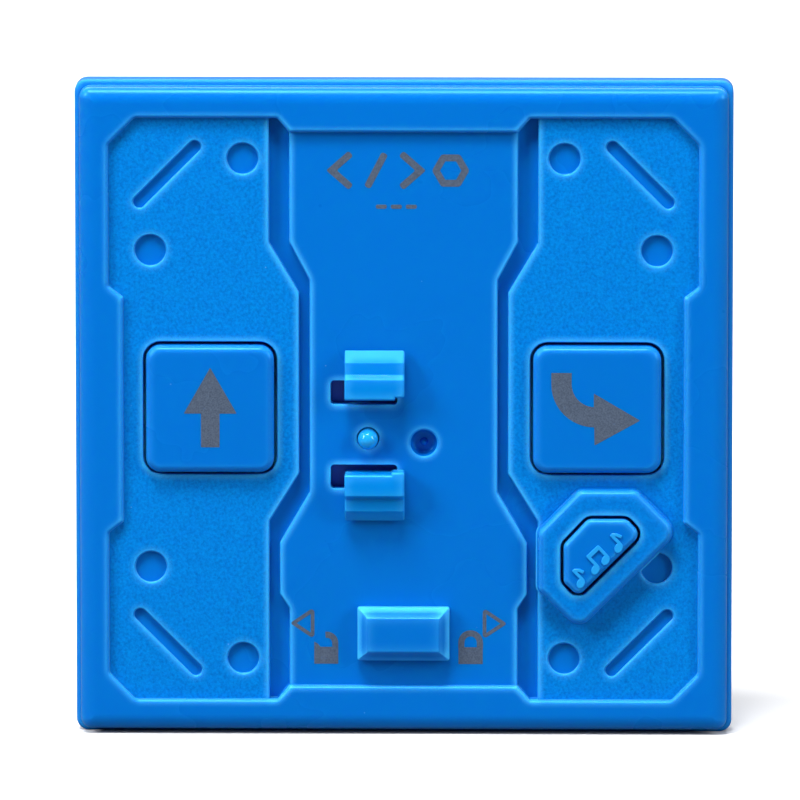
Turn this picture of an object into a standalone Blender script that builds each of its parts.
"""Hand control block of an educational coding robot, as an assembly of separate pieces.

The block is a shallow square box that stands on its lower edge. Its face carries two square direction
buttons, a slanted dance button on a raised pod, and a centre channel with two docking hooks, a sprung
sensing pin and a sliding lock. Behind the face lie the latch plate, the board with its push switches,
and a battery box that also makes the foot.

Everything is drawn in the face's own axes: x to the right, y up the face, z out of the face, and z = 0
on the face's border. One empty then stands the whole block up, so that the face looks along -Y.
"""

import math

import bmesh
import bpy
from mathutils import Matrix, Vector

MM = 0.001

# Driving dimensions of the case
FACE = 80.0 * MM
FACE_CORNER = 1.2 * MM
FACE_EDGE = 0.8 * MM
RIM = 81.3 * MM
RIM_CORNER = 1.5 * MM
RIM_EDGE = 0.35 * MM
RIM_WALL = 1.9 * MM
LIP_WALL = 1.0 * MM
WALL = 1.6 * MM
BACK_CHAMFER = 3.0 * MM
GAP = 0.3 * MM
FINE_GAP = 0.1 * MM
OVERLAP = 0.4 * MM

# Heights along z, from the front to the back
KNOB_TOP = 1.5 * MM
POD_TOP = 1.2 * MM
DANCE_TOP = 2.0 * MM
BUTTON_TOP = 0.6 * MM
BORDER = 0.0
PANEL = -0.8 * MM
DIMPLE_FLOOR = -1.35 * MM
GROOVE_FLOOR = -1.9 * MM
PLATE_BACK = -3.0 * MM
PARTING = -3.3 * MM
LIP_BACK = -5.0 * MM
BOARD_FRONT = -6.6 * MM
BOARD_BACK = -7.6 * MM
BOARD_HOLE = 0.8 * MM
BAND_BACK = -7.0 * MM
FLOOR_FRONT = -8.4 * MM
FLOOR_BACK = -10.0 * MM
DOOR_FRONT = -20.9 * MM
BACK_FACE = -22.4 * MM

# Relief of the face
DIMPLE_RADIUS = 1.93 * MM
DIMPLE_FAR = 31.2 * MM
DIMPLE_NEAR = 19.8 * MM
SLOT_FAR = 32.6 * MM
SLOT_NEAR = 25.7 * MM
SLOT_RADIUS = 0.78 * MM
SOCKET = (2.5 * MM, -4.2 * MM)
SOCKET_RADIUS = 1.9 * MM
SOCKET_DEPTH = 1.3 * MM

# Push buttons
BUTTON_X = 23.9 * MM
BUTTON_Y = 0.15 * MM
BUTTON_SIDE = 15.8 * MM
BUTTON_CORNER = 1.8 * MM
BUTTON_EDGE = 0.9 * MM
CAP_WALL = 1.4 * MM
FLANGE_REACH = 0.9 * MM
FLANGE_FRONT = PLATE_BACK - GAP
FLANGE_BACK = FLANGE_FRONT - 0.8 * MM
STEM_RADIUS = 1.5 * MM
STEM_END = -4.2 * MM
POD_EDGE = 0.6 * MM
POD_CORNER = 1.3 * MM
DANCE_CORNER = 1.05 * MM
DANCE_CENTRE = (23.6 * MM, -17.6 * MM)

# Push switches on the board
SWITCH_SIDE = 6.0 * MM
SWITCH_TOP = -5.1 * MM
SWITCH_BORE = 1.7 * MM
PLUNGER_TOP = STEM_END - FINE_GAP
PLUNGER_END = -5.4 * MM

# Docking latch
HOOK_LEFT = -7.25 * MM
HOOK_RIGHT = 0.15 * MM
STEM_RIGHT = -1.0 * MM
STEM_THICKNESS = 1.9 * MM
DOCK_MIDDLE = -3.15 * MM
HOOK_INNER = 4.65 * MM
HOOK_FRONT = 2.2 * MM
HOOK_STEP = 1.3 * MM
HOOK_UNDERSIDE = -0.2 * MM
SLOT_INNER = 3.75 * MM
SLOT_HEIGHT = 3.0 * MM
SLOT_LEFT = -9.0 * MM
SLOT_RIGHT = -0.8 * MM
REST_SHIFT = 0.33 * MM
REST_FOOT = PANEL + 0.15 * MM
BLIND_HOLE_END = -1.4 * MM
LATCH_FRONT = PLATE_BACK - 0.2 * MM
LATCH_BACK = LATCH_FRONT - 1.0 * MM
KNOB_Y = -27.9 * MM
KNOB_SIZE = (11.4 * MM, 6.7 * MM)
KNOB_CHAMFER = 1.25 * MM
NECK_SIZE = (4.0 * MM, 3.0 * MM)
LATCH_TRAVEL = 1.4 * MM
PIN = (-4.4 * MM, -3.6 * MM)
PIN_RADIUS = 1.25 * MM
PIN_TIP = 1.2 * MM

# Screws
CASE_SCREW = 34.4 * MM
BOARD_SCREWS = [(x * MM, y * MM) for y in (27.0, -25.5) for x in (-10.0, 10.0)]
CASE_POST_RADIUS = 2.2 * MM
CASE_POST_END = -7.3 * MM
CASE_HEAD_BACK = -9.8 * MM
RING_RADIUS = 2.8 * MM
RING_FRONT = CASE_POST_END - FINE_GAP
CASE_HEAD_RADIUS = 1.9 * MM
CASE_HEAD_HEIGHT = 0.9 * MM
CASE_SCREW_TIP = -4.6 * MM
BOARD_POST_RADIUS = 1.8 * MM
BOARD_SCREW_TIP = -4.0 * MM
SMALL_HEAD_HEIGHT = 0.6 * MM
LATCH_SCREW_TIP = -1.8 * MM
DOOR_HEAD_RADIUS = 1.8 * MM
DOOR_SCREW_TIP = -18.9 * MM
BLIND = 0.4 * MM

# Battery box, which is also the foot
FOOT = -RIM / 2
BOX_TOP = -10.65 * MM
BOX_HALF_WIDTH = 29.0 * MM
BAY_HALF_WIDTH = 25.4 * MM
BAY_BOTTOM = FOOT + 2.2 * MM
BAY_TOP = -16.2 * MM
CELL_RADIUS = 5.2 * MM
CELL_LENGTH = 44.5 * MM
CELL_Z = FLOOR_BACK - CELL_RADIUS - GAP
CELL_Y = (-32.9 * MM, -21.9 * MM)
CONTACT_X = 24.9 * MM
DOOR_HALF_WIDTH = 27.4 * MM
DOOR_BOTTOM = FOOT + 1.45 * MM
DOOR_TOP = BOX_TOP - 1.05 * MM
DOOR_SCREW_Y = -13.9 * MM
HINGE_RADIUS = (DOOR_FRONT - BACK_FACE) / 2
HINGE = (DOOR_BOTTOM + HINGE_RADIUS, BACK_FACE + HINGE_RADIUS)

# The empty that stands the block on its foot, with the middle of its depth over the origin
STAND_DEPTH = (HOOK_FRONT + BACK_FACE) / 2
STAND_HEIGHT = RIM / 2

# Modelling tolerances
TOUCH = 1e-6
SHARP = math.radians(30)
ARC_STEPS = 4
ROUND_SIDES = 20

# Colours and finishes: base colour, roughness, metallic
BLUE = ((0.0, 0.19, 0.72), 0.38, 0.0)
DARK_BLUE = ((0.0, 0.14, 0.6), 0.45, 0.0)
BLACK = ((0.02, 0.02, 0.022), 0.5, 0.0)
GREEN = ((0.01, 0.12, 0.05), 0.45, 0.0)
STEEL = ((0.6, 0.6, 0.62), 0.3, 1.0)
ZINC = ((0.5, 0.51, 0.53), 0.4, 1.0)
WRAP = ((0.05, 0.3, 0.32), 0.35, 0.0)
RED = ((0.6, 0.02, 0.02), 0.5, 0.0)


# ---------------------------------------------------------------- scene, objects and materials


def clear_scene():
    for old in list(bpy.data.objects):
        bpy.data.objects.remove(old)


def new_collection(name):
    made = bpy.data.collections.new(name)
    bpy.context.scene.collection.children.link(made)
    return made


def stand_up():
    """The empty that carries every piece and turns the face towards -Y."""
    stand = bpy.data.objects.new("stand", None)
    PARTS.objects.link(stand)
    stand.location = (0.0, STAND_DEPTH, STAND_HEIGHT)
    stand.rotation_euler = (math.radians(90), 0.0, 0.0)
    return stand


def add_object(name, data, helper=False):
    """A piece goes in the part's collection, a helper among the hidden cutters."""
    made = bpy.data.objects.new(name, data)
    if helper:
        CUTTERS.objects.link(made)
        made.hide_render = True
        made.display_type = "WIRE"
    else:
        PARTS.objects.link(made)
    made.parent = STAND
    return made


def paint(obj, look):
    """A material of the piece's own, from a colour, a roughness and a metallic value."""
    colour, roughness, metallic = look
    material = bpy.data.materials.new(obj.name)
    material.use_nodes = True
    surface = material.node_tree.nodes["Principled BSDF"]
    surface.inputs["Base Color"].default_value = (*colour, 1.0)
    surface.inputs["Roughness"].default_value = roughness
    surface.inputs["Metallic"].default_value = metallic
    material.diffuse_color = (*colour, 1.0)
    obj.data.materials.clear()
    obj.data.materials.append(material)


def finish(obj, look, origin=(0.0, 0.0, 0.0)):
    """Paints a piece and moves its origin, leaving its shape where it is."""
    paint(obj, look)
    obj.data.transform(Matrix.Translation(-Vector(origin)))
    obj.location = origin
    obj.data.shade_smooth()
    obj.data.set_sharp_from_angle(angle=SHARP)
    return obj


# ---------------------------------------------------------------- outlines


def rectangle(centre_x, centre_y, width, height):
    """The corners of a rectangle, counter-clockwise."""
    left = centre_x - width / 2
    right = centre_x + width / 2
    low = centre_y - height / 2
    high = centre_y + height / 2
    return [(left, low), (right, low), (right, high), (left, high)]


def rounded(corners, radius, steps=ARC_STEPS):
    """An outline through the corners, each of them rounded to the radius."""
    outline = []
    for index, here in enumerate(corners):
        corner = Vector(here)
        arriving = (corner - Vector(corners[index - 1])).normalized()
        leaving = (Vector(corners[(index + 1) % len(corners)]) - corner).normalized()
        turn = math.atan2(arriving.x * leaving.y - arriving.y * leaving.x, arriving.dot(leaving))
        start = corner - arriving * radius * math.tan(abs(turn) / 2)
        centre = start + math.copysign(radius, turn) * Vector((-arriving.y, arriving.x))
        spoke = start - centre
        for step in range(steps + 1):
            outline.append(centre + Matrix.Rotation(turn * step / steps, 2) @ spoke)
    return outline


def grown(corners, reach):
    """A counter-clockwise outline with every edge moved outwards."""
    outline = []
    for index, here in enumerate(corners):
        corner = Vector(here)
        arriving = (corner - Vector(corners[index - 1])).normalized()
        leaving = (Vector(corners[(index + 1) % len(corners)]) - corner).normalized()
        first = Vector((arriving.y, -arriving.x))
        second = Vector((leaving.y, -leaving.x))
        outline.append(corner + (first + second) * reach / (1.0 + first.dot(second)))
    return outline


def mirrored(points, across_x=1, across_y=1):
    """The same points on the other side of an axis, in reverse order."""
    return [(x * across_x, y * across_y) for x, y in reversed(points)]


def in_mm(points):
    return [(x * MM, y * MM) for x, y in points]


def window_outline():
    """Inner edge of the raised border: shallow notches at each side, top and bottom."""
    upper_part = [(14.1, 34.5), (15.6, 36.25), (33.15, 36.25)]
    quarter = in_mm([*upper_part, (36.4, 32.95), (36.4, 15.4), (34.6, 14.0)])
    right = quarter + mirrored(quarter, across_y=-1)
    return right + mirrored(right, across_x=-1)


def groove_outline():
    """The groove between the right side panel and the centre channel."""
    upper_part = [(15.6, 36.25), (16.6, 36.25), (16.6, 20.7)]
    panel_side = in_mm([*upper_part, (12.9, 14.5), (12.9, -8.0), (16.6, -14.0)])
    panel_side += in_mm([(16.6, -36.25), (15.6, -36.25)])
    channel_side = in_mm([(14.1, -34.5), (14.1, -24.9), (15.3, -23.1), (15.3, -16.7), (11.6, -10.4)])
    channel_side += in_mm([(11.6, 16.1), (14.1, 20.8), (14.1, 34.5)])
    return panel_side + channel_side


def pod_corners():
    left_part = [(21.7, -9.8), (16.65, -15.0), (16.65, -22.3), (21.7, -27.35)]
    return in_mm([*left_part, (34.0, -15.05), (28.8, -9.8)])


def dance_corners():
    return in_mm([(22.8, -13.3), (19.8, -16.5), (19.8, -21.2), (21.6, -23.0), (29.4, -15.2), (27.6, -13.3)])


def button_corners(side, reach=0.0):
    width = BUTTON_SIDE + 2 * reach
    return rectangle(side * BUTTON_X, BUTTON_Y, width, width)


# ---------------------------------------------------------------- solids


def settle(obj):
    """Replaces a piece's data with its evaluated mesh and drops the modifiers."""
    bpy.context.view_layer.update()
    evaluated = obj.evaluated_get(bpy.context.evaluated_depsgraph_get())
    obj.data = bpy.data.meshes.new_from_object(evaluated)
    obj.modifiers.clear()


def soften(obj, height, width, segments=3):
    """Rounds the sharp edges that lie at one height, or chamfers them with one segment."""
    shape = bmesh.new()
    shape.from_mesh(obj.data)
    level = [edge for edge in shape.edges if all(abs(vert.co.z - height) < TOUCH for vert in edge.verts)]
    sharp = [edge for edge in level if edge.calc_face_angle(0.0) > SHARP]
    bmesh.ops.bevel(shape, geom=sharp, offset=width, segments=segments, profile=0.5, affect="EDGES")
    shape.to_mesh(obj.data)
    shape.free()


def flat(name, outline, low, high, helper=False):
    """A flat piece of the given outline, between two heights."""
    curve = bpy.data.curves.new(name, "CURVE")
    curve.dimensions = "2D"
    curve.fill_mode = "BOTH"
    curve.extrude = (high - low) / 2
    spline = curve.splines.new("POLY")
    spline.points.add(len(outline) - 1)
    for point, (x, y) in zip(spline.points, outline):
        point.co = (x, y, 0.0, 1.0)
    spline.use_cyclic_u = True
    drawn = add_object(name, curve, helper=True)
    bpy.context.view_layer.update()
    mesh = bpy.data.meshes.new_from_object(drawn.evaluated_get(bpy.context.evaluated_depsgraph_get()))
    bpy.data.objects.remove(drawn)
    mesh.transform(Matrix.Translation((0.0, 0.0, (low + high) / 2)))
    shape = bmesh.new()
    shape.from_mesh(mesh)
    bmesh.ops.remove_doubles(shape, verts=shape.verts, dist=TOUCH)
    bmesh.ops.dissolve_limit(shape, angle_limit=TOUCH, verts=shape.verts, edges=shape.edges)
    bmesh.ops.recalc_face_normals(shape, faces=shape.faces)
    shape.to_mesh(mesh)
    shape.free()
    return add_object(name, mesh, helper)


def box(name, low, high, helper=False):
    """A box between two opposite corners."""
    size = Vector(high) - Vector(low)
    middle = (Vector(high) + Vector(low)) / 2
    shape = bmesh.new()
    placing = Matrix.Translation(middle) @ Matrix.Diagonal((*size, 1.0))
    bmesh.ops.create_cube(shape, size=1.0, matrix=placing)
    mesh = bpy.data.meshes.new(name)
    shape.to_mesh(mesh)
    shape.free()
    return add_object(name, mesh, helper)


def rod(name, centre, radius, low, high, helper=False, sides=ROUND_SIDES):
    """A round rod along z."""
    place = Matrix.Translation((centre[0], centre[1], (low + high) / 2))
    shape = bmesh.new()
    bmesh.ops.create_cone(
        shape, cap_ends=True, segments=sides, radius1=radius, radius2=radius, depth=high - low, matrix=place
    )
    mesh = bpy.data.meshes.new(name)
    shape.to_mesh(mesh)
    shape.free()
    return add_object(name, mesh, helper)


def turned(name, profile, centre=(0.0, 0.0), helper=False, sides=ROUND_SIDES):
    """A turned piece about z; the profile runs from its top on the axis to its bottom on the axis."""
    shape = bmesh.new()
    verts = [shape.verts.new((radius, 0.0, height)) for radius, height in profile]
    for upper, lower in zip(verts, verts[1:]):
        shape.edges.new((upper, lower))
    mesh = bpy.data.meshes.new(name)
    shape.to_mesh(mesh)
    shape.free()
    made = add_object(name, mesh, helper)
    screw = made.modifiers.new("turn", "SCREW")
    screw.steps = sides
    screw.render_steps = sides
    screw.use_merge_vertices = True
    screw.merge_threshold = TOUCH
    settle(made)
    made.data.transform(Matrix.Translation((*centre, 0.0)))
    return made


def frustum(name, low_half, low, high_half, high):
    """A square frustum along z, for the slanted back edges."""
    place = Matrix.Translation((0.0, 0.0, (low + high) / 2)) @ Matrix.Rotation(math.radians(45), 4, "Z")
    corner = math.sqrt(2)
    shape = bmesh.new()
    bmesh.ops.create_cone(
        shape,
        cap_ends=True,
        segments=4,
        radius1=low_half * corner,
        radius2=high_half * corner,
        depth=high - low,
        matrix=place,
    )
    mesh = bpy.data.meshes.new(name)
    shape.to_mesh(mesh)
    shape.free()
    return add_object(name, mesh, helper=True)


def combine(target, operation, tools):
    for tool in tools:
        step = target.modifiers.new(tool.name, "BOOLEAN")
        step.operation = operation
        step.object = tool
    settle(target)


def cut(target, *tools):
    combine(target, "DIFFERENCE", tools)


def join(target, *tools):
    combine(target, "UNION", tools)


def keep_inside(target, *tools):
    combine(target, "INTERSECT", tools)


def along_x(obj):
    """Turns a flat piece drawn in y and z so that its thickness runs along x."""
    obj.data.transform(Matrix(((0, 0, 1, 0), (1, 0, 0, 0), (0, 1, 0, 0), (0, 0, 0, 1))))
    return obj


# ---------------------------------------------------------------- front shell


def face_marks():
    """Round dimples and slanted slots in the corners of both side panels."""
    marks = []
    for across in (-1, 1):
        for up in (-1, 1):
            near = (across * DIMPLE_NEAR, up * DIMPLE_FAR)
            far = (across * DIMPLE_FAR, up * DIMPLE_NEAR)
            marks.append(rod("cut_dimple", near, DIMPLE_RADIUS, DIMPLE_FLOOR, BORDER, helper=True))
            marks.append(rod("cut_dimple", far, DIMPLE_RADIUS, DIMPLE_FLOOR, BORDER, helper=True))
            marks.append(slanted_slot(across, up))
    return marks


def slanted_slot(across, up):
    """A slot with round ends, from near the top corner down to the side."""
    start = Vector((across * SLOT_NEAR, up * SLOT_FAR))
    end = Vector((across * SLOT_FAR, up * SLOT_NEAR))
    along = (end - start).normalized() * SLOT_RADIUS
    aside = Vector((-along.y, along.x))
    corners = [start - along - aside, end + along - aside, end + along + aside, start - along + aside]
    outline = rounded(corners, SLOT_RADIUS * 0.99)
    return flat("cut_slot", outline, DIMPLE_FLOOR, BORDER, helper=True)


def socket_cutter():
    """A dished socket with a small point left standing in its middle."""
    floor = PANEL - SOCKET_DEPTH
    dish = [(0.0, 0.0), (SOCKET_RADIUS, 0.0), (SOCKET_RADIUS, PANEL), (1.5 * MM, PANEL - 0.25 * MM)]
    bottom = [(1.2 * MM, floor), (0.35 * MM, floor), (0.0, floor + 0.5 * MM)]
    return turned("cut_socket", dish + bottom, SOCKET, helper=True)


def latch_slots():
    """The two hook slots and the slot for the knob's neck."""
    slots = []
    for side in (-1, 1):
        middle = DOCK_MIDDLE + side * (SLOT_INNER + SLOT_HEIGHT / 2)
        corners = rectangle((SLOT_LEFT + SLOT_RIGHT) / 2, middle, SLOT_RIGHT - SLOT_LEFT, SLOT_HEIGHT)
        slots.append(flat("cut_hook_slot", rounded(corners, 0.4 * MM, 2), LIP_BACK, BORDER, helper=True))
    width = NECK_SIZE[0] + LATCH_TRAVEL + 2 * GAP
    corners = rectangle(-LATCH_TRAVEL / 2, KNOB_Y, width, NECK_SIZE[1] + 2 * GAP)
    slots.append(flat("cut_neck_slot", corners, LIP_BACK, BORDER, helper=True))
    return slots


def button_openings():
    openings = []
    for side in (-1, 1):
        outline = rounded(button_corners(side, GAP), BUTTON_CORNER + GAP)
        openings.append(flat("cut_button", outline, LIP_BACK, POD_TOP, helper=True))
    outline = rounded(grown(dance_corners(), GAP), DANCE_CORNER + GAP)
    openings.append(flat("cut_dance", outline, LIP_BACK, 2 * POD_TOP, helper=True))
    openings.append(rod("cut_pin", PIN, PIN_RADIUS + FINE_GAP, LIP_BACK, BORDER, helper=True))
    return openings


def screw_posts(places, radius, hole, end, hole_end):
    """Posts behind the face, and the holes down their middles."""
    posts = []
    holes = []
    for place in places:
        posts.append(rod("post", place, radius, end, PLATE_BACK + OVERLAP, helper=True, sides=16))
        holes.append(rod("cut_post", place, hole, end - OVERLAP, hole_end, helper=True, sides=12))
    return posts, holes


def case_screw_places():
    return [(across * CASE_SCREW, up * CASE_SCREW) for up in (-1, 1) for across in (-1, 1)]


def make_front_shell():
    shell = flat("front_shell", rounded(rectangle(0, 0, FACE, FACE), FACE_CORNER), PARTING, BORDER)
    soften(shell, BORDER, FACE_EDGE)
    lip = RIM - 2 * RIM_WALL - 2 * GAP
    inside = lip - 2 * LIP_WALL
    lip_outline = rounded(rectangle(0, 0, lip, lip), FACE_CORNER)
    join(shell, flat("lip", lip_outline, LIP_BACK, PLATE_BACK, helper=True))
    hollow = rounded(rectangle(0, 0, inside, inside), FACE_CORNER)
    cut(shell, flat("cut_hollow", hollow, LIP_BACK - OVERLAP, PLATE_BACK, helper=True))
    cut(shell, flat("cut_window", window_outline(), PANEL, KNOB_TOP, helper=True))
    groove = groove_outline()
    cut(shell, flat("cut_groove", groove, GROOVE_FLOOR, BORDER, helper=True))
    cut(shell, flat("cut_groove", mirrored(groove, across_x=-1), GROOVE_FLOOR, BORDER, helper=True))
    cut(shell, *face_marks())
    pod = flat("pod", rounded(pod_corners(), POD_CORNER), GROOVE_FLOOR - OVERLAP, POD_TOP, helper=True)
    soften(pod, POD_TOP, POD_EDGE)
    join(shell, pod)
    cut(shell, socket_cutter(), *latch_slots(), *button_openings())
    case_hole_end = CASE_SCREW_TIP + BLIND
    board_hole_end = BOARD_SCREW_TIP + BLIND
    board_post_end = BOARD_FRONT + FINE_GAP
    case_posts, case_holes = screw_posts(
        case_screw_places(), CASE_POST_RADIUS, 1.1 * MM, CASE_POST_END, case_hole_end
    )
    board_posts, board_holes = screw_posts(
        BOARD_SCREWS, BOARD_POST_RADIUS, 0.7 * MM, board_post_end, board_hole_end
    )
    join(shell, *case_posts, *board_posts)
    cut(shell, *case_holes, *board_holes)
    return finish(shell, BLUE)


# ---------------------------------------------------------------- buttons


def make_button(name, corners, corner_radius, top, stem_place, edge):
    """A hollow cap with a flange that holds it behind the face and a stem for its switch."""
    cap = flat(name, rounded(corners, corner_radius), FLANGE_BACK, top)
    soften(cap, top, edge)
    flange = rounded(grown(corners, FLANGE_REACH), corner_radius + FLANGE_REACH)
    join(cap, flat("flange", flange, FLANGE_BACK, FLANGE_FRONT, helper=True))
    hollow = rounded(grown(corners, -CAP_WALL), 0.4 * MM, 1)
    cut(cap, flat("cut_cap", hollow, FLANGE_BACK - OVERLAP, top - CAP_WALL, helper=True))
    stem_top = top - CAP_WALL + OVERLAP
    join(cap, rod("stem", stem_place, STEM_RADIUS, STEM_END, stem_top, helper=True, sides=12))
    return finish(cap, BLUE, (*stem_place, FLANGE_BACK))


def make_buttons():
    for name, side in (("forward_button", -1), ("turn_button", 1)):
        place = (side * BUTTON_X, BUTTON_Y)
        make_button(name, button_corners(side), BUTTON_CORNER, BUTTON_TOP, place, BUTTON_EDGE)
    make_button("dance_button", dance_corners(), DANCE_CORNER, DANCE_TOP, DANCE_CENTRE, 0.5 * MM)


# ---------------------------------------------------------------- docking latch


def hook_profile(side, inner, foot):
    """Section of a hook in y and z; side is 1 above the dock's middle and -1 below it."""
    reach = [
        (inner, foot),
        (inner, HOOK_FRONT),
        (7.25 * MM, HOOK_FRONT),
        (7.75 * MM, HOOK_STEP),
        (9.25 * MM, HOOK_STEP),
        (10.6 * MM, HOOK_STEP - 1.35 * MM),
        (10.6 * MM, HOOK_UNDERSIDE),
        (HOOK_INNER + STEM_THICKNESS, HOOK_UNDERSIDE),
        (HOOK_INNER + STEM_THICKNESS, foot),
    ]
    return [(DOCK_MIDDLE + side * y, z) for y, z in reach]


def make_hook(name, side):
    """A hook with a stem through its slot; its right end stops just over the panel."""
    stem_foot = PLATE_BACK - FINE_GAP
    hook = along_x(flat(name, hook_profile(side, HOOK_INNER, stem_foot), HOOK_LEFT, STEM_RIGHT))
    end = hook_profile(side, HOOK_INNER + side * REST_SHIFT, REST_FOOT)
    join(hook, along_x(flat("hook_end", end, STEM_RIGHT - OVERLAP, HOOK_RIGHT, helper=True)))
    place = hook_screw_place(side)
    cut(hook, rod("cut_hook", place, 0.6 * MM, stem_foot - OVERLAP, BLIND_HOLE_END, helper=True, sides=12))
    return finish(hook, BLUE, (*place, stem_foot))


def hook_screw_place(side):
    return ((HOOK_LEFT + STEM_RIGHT) / 2, DOCK_MIDDLE + side * (HOOK_INNER + STEM_THICKNESS / 2))


def make_knob():
    base = PANEL + FINE_GAP
    knob = flat("lock_knob", rounded(rectangle(0, KNOB_Y, *KNOB_SIZE), 0.3 * MM, 2), base, KNOB_TOP)
    soften(knob, KNOB_TOP, KNOB_CHAMFER, segments=1)
    neck_foot = PLATE_BACK - FINE_GAP
    neck = rectangle(0, KNOB_Y, *NECK_SIZE)
    join(knob, flat("neck", neck, neck_foot, base + OVERLAP, helper=True))
    place = (0, KNOB_Y)
    cut(knob, rod("cut_neck", place, 0.6 * MM, neck_foot - OVERLAP, BLIND_HOLE_END, helper=True, sides=12))
    return finish(knob, BLUE, (0, KNOB_Y, base))


def latch_screw_places():
    return [hook_screw_place(1), hook_screw_place(-1), (0, KNOB_Y)]


def make_latch_plate():
    """The plate that carries both hooks and the knob, with a window around the sensing pin."""
    corners = in_mm([(-3.5, -30.6), (3.5, -30.6), (3.5, -12.5), (1.5, -11.0), (1.5, 5.2), (-9.6, 5.2)])
    corners += in_mm([(-9.6, -11.0), (-3.5, -17.0)])
    plate = flat("latch_plate", rounded(corners, 0.8 * MM, 2), LATCH_BACK, LATCH_FRONT)
    window = rectangle(-3.75 * MM, PIN[1], 6.3 * MM, 5.0 * MM)
    low = LATCH_BACK - GAP
    high = LATCH_FRONT + GAP
    cutters = [flat("cut_latch", rounded(window, 0.5 * MM, 2), low, high, helper=True)]
    for place in latch_screw_places():
        cutters.append(rod("cut_latch", place, 0.65 * MM, low, high, helper=True, sides=12))
    cut(plate, *cutters)
    return finish(plate, DARK_BLUE)


def make_dock_pin():
    """The domed sensing pin, its collar behind the face and its foot on the switch."""
    dome = [
        (PIN_RADIUS * math.sin(angle), PIN_TIP - PIN_RADIUS * (1 - math.cos(angle)))
        for angle in (math.radians(90) * step / 5 for step in range(6))
    ]
    collar = PIN_RADIUS + 0.7 * MM
    rim = [(PIN_RADIUS, FLANGE_FRONT), (collar, FLANGE_FRONT), (collar, FLANGE_BACK)]
    foot = [*rim, (1.2 * MM, FLANGE_BACK)]
    end = [(1.2 * MM, STEM_END), (0.0, STEM_END)]
    pin = turned("dock_pin", dome + foot + end, PIN)
    return finish(pin, BLUE, (*PIN, FLANGE_BACK))


# ---------------------------------------------------------------- screws


def make_screw(name, place, head_back, head_radius, head_height, shank_radius, tip):
    """A screw driven from behind: a low domed head with a cross recess, and a shank towards the face."""
    shank_start = head_back + head_height
    profile = [
        (0.0, tip),
        (shank_radius * 0.6, tip),
        (shank_radius, tip - shank_radius * 0.6),
        (shank_radius, shank_start),
        (head_radius, shank_start),
        (head_radius, head_back + head_height * 0.4),
        (head_radius * 0.7, head_back),
        (0.0, head_back),
    ]
    screw = turned(name, profile, sides=12)
    arm = head_radius * 0.55
    depth = head_back + head_height * 0.4
    for index in (0, 1):
        half = Vector((arm, arm * 0.25)) if index else Vector((arm * 0.25, arm))
        low = (-half.x, -half.y, head_back - GAP)
        cut(screw, box("cut_cross", low, (half.x, half.y, depth), helper=True))
    screw.data.transform(Matrix.Translation((*place, 0.0)))
    return finish(screw, STEEL, (*place, head_back))


def make_screws():
    for number, place in enumerate(case_screw_places(), start=1):
        name = f"case_screw_{number}"
        head = (CASE_HEAD_BACK, CASE_HEAD_RADIUS, CASE_HEAD_HEIGHT)
        make_screw(name, place, *head, 0.9 * MM, CASE_SCREW_TIP)
    for number, place in enumerate(BOARD_SCREWS, start=1):
        head = BOARD_BACK - FINE_GAP - SMALL_HEAD_HEIGHT
        name = f"board_screw_{number}"
        make_screw(name, place, head, 1.5 * MM, SMALL_HEAD_HEIGHT, 0.55 * MM, BOARD_SCREW_TIP)
    for number, place in enumerate(latch_screw_places(), start=1):
        head = LATCH_BACK - FINE_GAP - SMALL_HEAD_HEIGHT
        name = f"latch_screw_{number}"
        make_screw(name, place, head, 1.2 * MM, SMALL_HEAD_HEIGHT, 0.45 * MM, LATCH_SCREW_TIP)
    place = (0.0, DOOR_SCREW_Y)
    head = BACK_FACE + FINE_GAP
    make_screw("battery_door_screw", place, head, DOOR_HEAD_RADIUS, 0.8 * MM, 0.8 * MM, DOOR_SCREW_TIP)


# ---------------------------------------------------------------- board


def make_board():
    corners = rectangle(0, 1.0 * MM, 70.0 * MM, 60.0 * MM)
    board = flat("main_board", rounded(corners, 1.0 * MM, 2), BOARD_BACK, BOARD_FRONT)
    low = BOARD_BACK - GAP
    high = BOARD_FRONT + GAP
    for place in [*BOARD_SCREWS, *lead_places()]:
        cut(board, rod("cut_board", place, BOARD_HOLE, low, high, helper=True, sides=12))
    return finish(board, GREEN)


def make_switch(name, place):
    """A low push switch: a square housing on the board and the round plunger that slides in it."""
    foot = BOARD_FRONT + FINE_GAP
    housing = flat(f"{name}_switch", rectangle(*place, SWITCH_SIDE, SWITCH_SIDE), foot, SWITCH_TOP)
    bore = rod("cut_switch", place, SWITCH_BORE, foot + 0.15 * MM, SWITCH_TOP + GAP, helper=True, sides=16)
    cut(housing, bore)
    finish(housing, BLACK)
    plunger = rod(f"{name}_plunger", place, SWITCH_BORE - 0.2 * MM, PLUNGER_END, PLUNGER_TOP, sides=16)
    finish(plunger, RED, (*place, PLUNGER_END))


def make_board_parts():
    make_switch("forward", (-BUTTON_X, BUTTON_Y))
    make_switch("turn", (BUTTON_X, BUTTON_Y))
    make_switch("dance", DANCE_CENTRE)
    make_switch("dock", PIN)
    foot = BOARD_FRONT + FINE_GAP
    chip = flat("control_chip", rectangle(0, 16.0 * MM, 9.0 * MM, 9.0 * MM), foot, foot + 1.0 * MM)
    finish(chip, BLACK)
    crystal = rectangle(-9.5 * MM, 16.0 * MM, 4.6 * MM, 1.9 * MM)
    finish(flat("crystal", rounded(crystal, 0.9 * MM, 3), foot, foot + 1.3 * MM), ZINC)
    radio = rectangle(24.0 * MM, 20.5 * MM, 16.0 * MM, 12.0 * MM)
    finish(flat("radio_module", rounded(radio, 0.6 * MM, 2), foot, foot + 1.8 * MM), ZINC)


# ---------------------------------------------------------------- back shell and battery box


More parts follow.
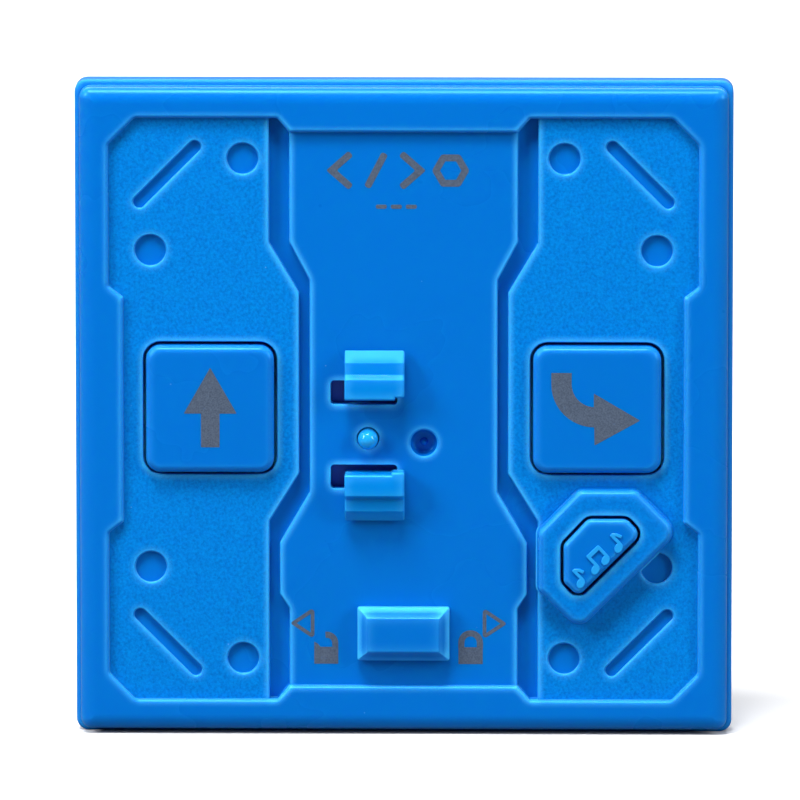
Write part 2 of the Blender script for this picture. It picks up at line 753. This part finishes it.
def make_back_shell():
    """The tray behind the face, its slanted back edges, and the battery box that stands on the foot."""
    front = PARTING - FINE_GAP
    shell = flat("back_shell", rounded(rectangle(0, 0, RIM, RIM), RIM_CORNER), FLOOR_BACK, front)
    soften(shell, front, RIM_EDGE, segments=2)
    half = RIM / 2
    slant = BACK_CHAMFER
    far = half + BAND_BACK - FLOOR_BACK
    back_cut = frustum("back_slant", half - slant, FLOOR_BACK, half + far, FLOOR_BACK + slant + far)
    keep_inside(shell, back_cut)
    inner = RIM - 2 * RIM_WALL
    tray_outline = rounded(rectangle(0, 0, inner, inner), FACE_CORNER)
    tray = flat("tray", tray_outline, FLOOR_FRONT, BORDER, helper=True)
    slope = WALL * math.sqrt(2)
    tray_low = half - slant - slope + FLOOR_FRONT - FLOOR_BACK
    keep_inside(tray, frustum("tray_slant", tray_low, FLOOR_FRONT, tray_low + half, FLOOR_FRONT + half))
    cut(shell, tray)
    rings = []
    for place in case_screw_places():
        rings.append(rod("ring", place, RING_RADIUS, FLOOR_BACK + OVERLAP, RING_FRONT, helper=True))
    join(shell, battery_box(), *rings)
    cut(shell, *battery_cutters(), *screw_cutters())
    return finish(shell, BLUE)


def battery_box():
    """The box behind the lower half of the tray; its floor is level with the rim."""
    middle = (FOOT + BOX_TOP) / 2
    corners = rectangle(0, middle, 2 * BOX_HALF_WIDTH, BOX_TOP - FOOT)
    made = flat("battery_box", corners, BACK_FACE, FLOOR_BACK + OVERLAP, helper=True)
    soften(made, BACK_FACE, 0.8 * MM, segments=2)
    return made


def battery_cutters():
    """The bay for the cells, the seat of its door, the hinge sockets and the door screw's hole."""
    seat = DOOR_FRONT + FINE_GAP
    behind = BACK_FACE - GAP
    bay = box(
        "cut_bay",
        (-BAY_HALF_WIDTH, BAY_BOTTOM, behind),
        (BAY_HALF_WIDTH, BAY_TOP, FLOOR_BACK),
        helper=True,
    )
    recess_bottom = DOOR_BOTTOM - GAP
    recess_top = DOOR_TOP + GAP
    reach = DOOR_HALF_WIDTH + GAP
    recess = box("cut_seat", (-reach, recess_bottom, behind), (reach, recess_top, seat), helper=True)
    place = (0, DOOR_SCREW_Y)
    hole_end = DOOR_SCREW_TIP + 1.1 * MM
    hole = rod("cut_door_screw", place, 1.25 * MM, seat - OVERLAP, hole_end, helper=True, sides=16)
    socket_reach = DOOR_HALF_WIDTH + 1.0 * MM
    socket_radius = HINGE_RADIUS - FINE_GAP
    sockets = rod("cut_hinge", HINGE, socket_radius, -socket_reach, socket_reach, helper=True, sides=16)
    return [bay, recess, hole, along_x(sockets)]


def screw_cutters():
    """Holes and counterbores for the case screws, and the holes for the battery leads."""
    cutters = []
    for place in case_screw_places():
        low = FLOOR_BACK - GAP
        cutters.append(rod("cut_case", place, 1.15 * MM, low, RING_FRONT + OVERLAP, helper=True, sides=16))
        seat = CASE_HEAD_BACK + CASE_HEAD_HEIGHT + FINE_GAP
        cutters.append(rod("cut_case_head", place, CASE_HEAD_RADIUS + 0.2 * MM, low, seat, helper=True))
    for place in lead_places():
        high = FLOOR_FRONT + GAP
        cutters.append(rod("cut_lead", place, BOARD_HOLE, FLOOR_BACK - GAP, high, helper=True, sides=12))
    return cutters


def make_battery_door():
    """The door, with a rounded lower edge and a stub pin at each end of it to swing on."""
    hinge_y = HINGE[0]
    corners = [(hinge_y, BACK_FACE), (DOOR_TOP, BACK_FACE), (DOOR_TOP, DOOR_FRONT), (hinge_y, DOOR_FRONT)]
    door = along_x(flat("battery_door", corners, -DOOR_HALF_WIDTH, DOOR_HALF_WIDTH))
    half = DOOR_HALF_WIDTH
    knuckle = rod("knuckle", HINGE, HINGE_RADIUS, -half, half, helper=True, sides=24)
    pin_reach = DOOR_HALF_WIDTH + 0.8 * MM
    pin = rod("hinge_pin", HINGE, 0.5 * MM, -pin_reach, pin_reach, helper=True, sides=12)
    join(door, along_x(knuckle), along_x(pin))
    place = (0, DOOR_SCREW_Y)
    head_seat = BACK_FACE + 1.0 * MM
    cut(
        door,
        rod("cut_door", place, 1.0 * MM, BACK_FACE - GAP, DOOR_FRONT + GAP, helper=True, sides=16),
        rod("cut_door_head", place, DOOR_HEAD_RADIUS + 0.2 * MM, BACK_FACE - GAP, head_seat, helper=True),
        *grip_cutters(),
    )
    return finish(door, BLUE, (0.0, *HINGE))


def grip_cutters():
    """Three shallow grip grooves near the door's upper edge."""
    grooves = []
    for number in range(3):
        middle = -17.2 * MM - number * 1.8 * MM
        low = (-6.0 * MM, middle - 0.4 * MM, BACK_FACE - GAP)
        high = (6.0 * MM, middle + 0.4 * MM, BACK_FACE + 0.4 * MM)
        grooves.append(box("cut_grip", low, high, helper=True))
    return grooves


def make_cell(number, direction):
    """A battery cell lying along x, its button end towards the given direction."""
    button = 1.0 * MM
    profile = [
        (0.0, CELL_LENGTH),
        (1.9 * MM, CELL_LENGTH),
        (1.9 * MM, CELL_LENGTH - button),
        (CELL_RADIUS - 0.4 * MM, CELL_LENGTH - button),
        (CELL_RADIUS, CELL_LENGTH - button - 0.4 * MM),
        (CELL_RADIUS, 0.3 * MM),
        (CELL_RADIUS - 0.3 * MM, 0.0),
        (0.0, 0.0),
    ]
    cell = turned(f"battery_cell_{number}", profile)
    finish(cell, WRAP)
    cell.rotation_euler = (0.0, direction * math.radians(90), 0.0)
    start = direction * (CONTACT_X - 0.2 * MM - CELL_LENGTH)
    cell.location = (start, CELL_Y[number - 1], CELL_Z)


def contact_box(name, side, bottom, top):
    """A thin contact plate at one end of the bay."""
    near = side * CONTACT_X
    far = side * (CONTACT_X + 0.4 * MM)
    low = (min(near, far), bottom, CELL_Z - 4.5 * MM)
    finish(box(name, low, (max(near, far), top, CELL_Z + 4.5 * MM)), ZINC)


def make_contact_spring(number, side):
    """A conical spring between a contact plate and the flat end of a cell."""
    turns = 4
    per_turn = 10
    wire = 0.3 * MM
    start = CONTACT_X - wire - FINE_GAP
    end = CELL_LENGTH + 0.2 * MM - CONTACT_X + wire + FINE_GAP
    curve = bpy.data.curves.new("spring", "CURVE")
    curve.dimensions = "3D"
    curve.bevel_depth = wire
    curve.bevel_resolution = 1
    curve.use_fill_caps = True
    spline = curve.splines.new("POLY")
    count = turns * per_turn + 1
    spline.points.add(count - 1)
    for index, point in enumerate(spline.points):
        share = index / (count - 1)
        angle = 2 * math.pi * turns * share
        radius = (3.6 - 1.5 * share) * MM
        x = start + (end - start) * share
        y = CELL_Y[number - 1] + radius * math.cos(angle)
        point.co = (side * x, y, CELL_Z + radius * math.sin(angle), 1.0)
    curve_to_piece(f"contact_spring_{number}", curve, STEEL)


def curve_to_piece(name, curve, look):
    """Makes a wire curve into a closed mesh piece."""
    drawn = add_object("drawn", curve, helper=True)
    bpy.context.view_layer.update()
    mesh = bpy.data.meshes.new_from_object(drawn.evaluated_get(bpy.context.evaluated_depsgraph_get()))
    bpy.data.objects.remove(drawn)
    shape = bmesh.new()
    shape.from_mesh(mesh)
    bmesh.ops.remove_doubles(shape, verts=shape.verts, dist=TOUCH)
    bmesh.ops.recalc_face_normals(shape, faces=shape.faces)
    shape.to_mesh(mesh)
    shape.free()
    finish(add_object(name, mesh), look)


def lead_places():
    """Where the two battery leads pass through the tray's floor and the board."""
    middle = (CELL_Y[0] + CELL_Y[1]) / 2
    return [(CONTACT_X - 0.7 * MM, middle - 1.0 * MM), (CONTACT_X - 0.7 * MM, middle + 1.0 * MM)]


def make_lead(name, place, look):
    """A lead from its contact plate up through the floor and the board, bent over on to its pad."""
    x, y = place
    route = [
        (x, y, -12.5 * MM),
        (x, y, -6.4 * MM),
        (x - 0.15 * MM, y, -5.95 * MM),
        (x - 0.6 * MM, y, -5.6 * MM),
        (x - 1.2 * MM, y, -5.6 * MM),
        (x - 1.7 * MM, y, -5.85 * MM),
        (x - 1.8 * MM, y, -6.4 * MM),
    ]
    curve = bpy.data.curves.new("lead", "CURVE")
    curve.dimensions = "3D"
    curve.bevel_depth = 0.4 * MM
    curve.bevel_resolution = 2
    curve.use_fill_caps = True
    spline = curve.splines.new("POLY")
    spline.points.add(len(route) - 1)
    for point, place_on_route in zip(spline.points, route):
        point.co = (*place_on_route, 1.0)
    curve_to_piece(name, curve, look)


def make_battery_parts():
    make_cell(1, 1)
    make_cell(2, -1)
    middle = (CELL_Y[0] + CELL_Y[1]) / 2
    contact_box("bridge_contact", -1, BAY_BOTTOM + GAP, BAY_TOP - GAP)
    contact_box("positive_contact", 1, BAY_BOTTOM + GAP, middle - 0.5 * MM)
    contact_box("negative_contact", 1, middle + 0.5 * MM, BAY_TOP - GAP)
    make_contact_spring(1, -1)
    make_contact_spring(2, 1)
    below, above = lead_places()
    make_lead("battery_lead_red", below, RED)
    make_lead("battery_lead_black", above, BLACK)


clear_scene()
PARTS = new_collection("coding_robot_hand_control")
CUTTERS = new_collection("cutters")
STAND = stand_up()
make_front_shell()
make_buttons()
make_hook("upper_hook", 1)
make_hook("lower_hook", -1)
make_knob()
make_latch_plate()
make_dock_pin()
make_screws()
make_board()
make_board_parts()
make_back_shell()
make_battery_door()
make_battery_parts()
